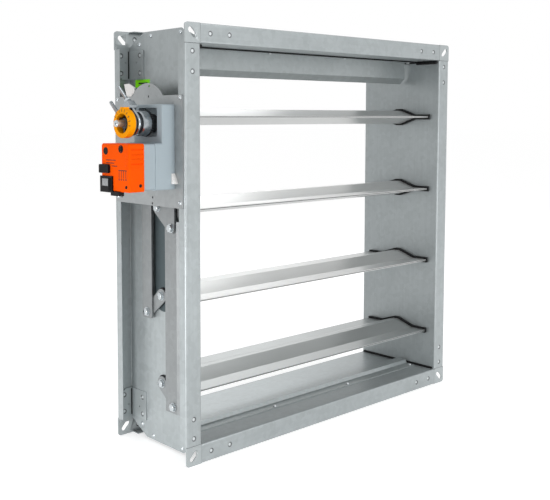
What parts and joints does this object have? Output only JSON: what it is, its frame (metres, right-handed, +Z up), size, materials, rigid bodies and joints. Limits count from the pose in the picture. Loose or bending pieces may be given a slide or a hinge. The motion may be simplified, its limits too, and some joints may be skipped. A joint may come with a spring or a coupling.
{
  "type": "regulating damper",
  "caption": "Square duct damper with opposed hollow blades, flanged casing, toothed and bar linkage on one side, and a clamped rotary actuator.",
  "frame": {"origin": "On the front flange's face, at the middle of its bottom edge", "axes": "X across the duct with the actuator at -X, +Y into the duct away from the front flange, +Z up"},
  "size_m": [0.8838, 0.21, 0.78],
  "materials": {
    "galvanised_sheet": "hot-dip galvanised sheet, fine spangle",
    "pressed_corner_steel": "zinc-plated pressing",
    "zinc_plated_steel": "bright zinc plate",
    "mill_aluminium": "mill-finish extrusion",
    "black_rubber": "matte moulded rubber",
    "grey_sealant": "soft sealing bead",
    "black_plastic": "matte moulded plastic",
    "grey_plastic": "matte moulded plastic",
    "orange_plastic": "satin moulded plastic",
    "pale_plastic": "matte moulded plastic",
    "cast_zinc": "matte casting"
  },
  "bodies": {
    "casing": {"side_wall_left": "galvanised_sheet", "side_wall_right": "galvanised_sheet", "top_wall": "galvanised_sheet", "bottom_wall": "galvanised_sheet", "top_stop_strip": "galvanised_sheet", "bottom_stop_strip": "galvanised_sheet", "drive_plate": "galvanised_sheet", "corner_front_top_left": "pressed_corner_steel", "corner_front_top_right": "pressed_corner_steel", "corner_front_bottom_left": "pressed_corner_steel", "corner_front_bottom_right": "pressed_corner_steel", "corner_back_top_left": "pressed_corner_steel", "corner_back_top_right": "pressed_corner_steel", "corner_back_bottom_left": "pressed_corner_steel", "corner_back_bottom_right": "pressed_corner_steel", "joint_seals": "grey_sealant", "stop_screws": "zinc_plated_steel", "rivets": "zinc_plated_steel", "bushes_left": "black_plastic", "bushes_right": "black_plastic", "spindle_bearing": "black_plastic", "cable_gland": "black_plastic", "actuator_screws": "black_plastic", "actuator_rear_housing": "cast_zinc", "actuator_front_housing": "grey_plastic", "actuator_cover": "orange_plastic", "actuator_stop_bracket": "pale_plastic", "linkage_guard": "pale_plastic"},
    "drive": {"drive_spindle": "zinc_plated_steel", "drive_lever": "zinc_plated_steel", "clamp_ring": "zinc_plated_steel", "clamp_drum": "black_plastic", "clamp_saddle": "zinc_plated_steel", "clamp_u_bolt": "zinc_plated_steel", "clamp_nuts": "zinc_plated_steel", "position_indicator": "orange_plastic"},
    "button": {"release_button": "black_plastic"},
    "blade_1_body": {"blade_1": "mill_aluminium", "blade_1_end_seals": "black_rubber", "blade_1_shaft": "zinc_plated_steel", "crank_1": "zinc_plated_steel", "crank_pin_1": "zinc_plated_steel"},
    "blade_2_body": {"blade_2": "mill_aluminium", "blade_2_end_seals": "black_rubber", "blade_2_shaft": "zinc_plated_steel", "crank_2": "zinc_plated_steel", "crank_pin_2": "zinc_plated_steel", "toothed_sector": "zinc_plated_steel"},
    "blade_3_body": {"blade_3": "mill_aluminium", "blade_3_end_seals": "black_rubber", "blade_3_shaft": "zinc_plated_steel", "crank_3": "zinc_plated_steel", "crank_pin_3": "zinc_plated_steel"},
    "blade_4_body": {"blade_4": "mill_aluminium", "blade_4_end_seals": "black_rubber", "blade_4_shaft": "zinc_plated_steel", "crank_4": "zinc_plated_steel", "crank_pin_4": "zinc_plated_steel"},
    "rear_bar": {"link_bar_rear": "zinc_plated_steel"},
    "front_bar": {"link_bar_front": "zinc_plated_steel"}
  },
  "joints": [
    {"name": "drive_turn", "type": "hinge", "parent": "casing", "child": "drive", "pos_m": [-0.4, 0.068, 0.607], "axis": [1, 0, 0], "range_deg": [0, 90]},
    {"name": "blade_1_turn", "type": "hinge", "parent": "casing", "child": "blade_1_body", "pos_m": [0, 0.105, 0.618], "axis": [1, 0, 0], "range_deg": [0, 90]},
    {"name": "blade_2_turn", "type": "hinge", "parent": "casing", "child": "blade_2_body", "pos_m": [0, 0.105, 0.453], "axis": [1, 0, 0], "range_deg": [-90, 0]},
    {"name": "blade_3_turn", "type": "hinge", "parent": "casing", "child": "blade_3_body", "pos_m": [0, 0.105, 0.288], "axis": [1, 0, 0], "range_deg": [0, 90]},
    {"name": "blade_4_turn", "type": "hinge", "parent": "casing", "child": "blade_4_body", "pos_m": [0, 0.105, 0.123], "axis": [1, 0, 0], "range_deg": [-90, 0]},
    {"name": "rear_bar_turn", "type": "hinge", "parent": "blade_1_body", "child": "rear_bar", "pos_m": [-0.3647, 0.14364, 0.58321], "axis": [1, 0, 0], "range_deg": [-90, 0]},
    {"name": "front_bar_turn", "type": "hinge", "parent": "blade_2_body", "child": "front_bar", "pos_m": [-0.3647, 0.06636, 0.41821], "axis": [1, 0, 0], "range_deg": [0, 90]},
    {"name": "release_press", "type": "slide", "parent": "casing", "child": "button", "axis": [1, 0, 0], "range_m": [0, 0.003], "stiffness_N_per_m": 500, "springref_m": -0.001}
  ],
  "couplings": [
    {"joint": "blade_1_turn", "follows": "drive_turn", "ratio": 1},
    {"joint": "blade_2_turn", "follows": "drive_turn", "ratio": -1},
    {"joint": "blade_3_turn", "follows": "drive_turn", "ratio": 1},
    {"joint": "blade_4_turn", "follows": "drive_turn", "ratio": -1},
    {"joint": "rear_bar_turn", "follows": "drive_turn", "ratio": -1},
    {"joint": "front_bar_turn", "follows": "drive_turn", "ratio": 1}
  ]
}
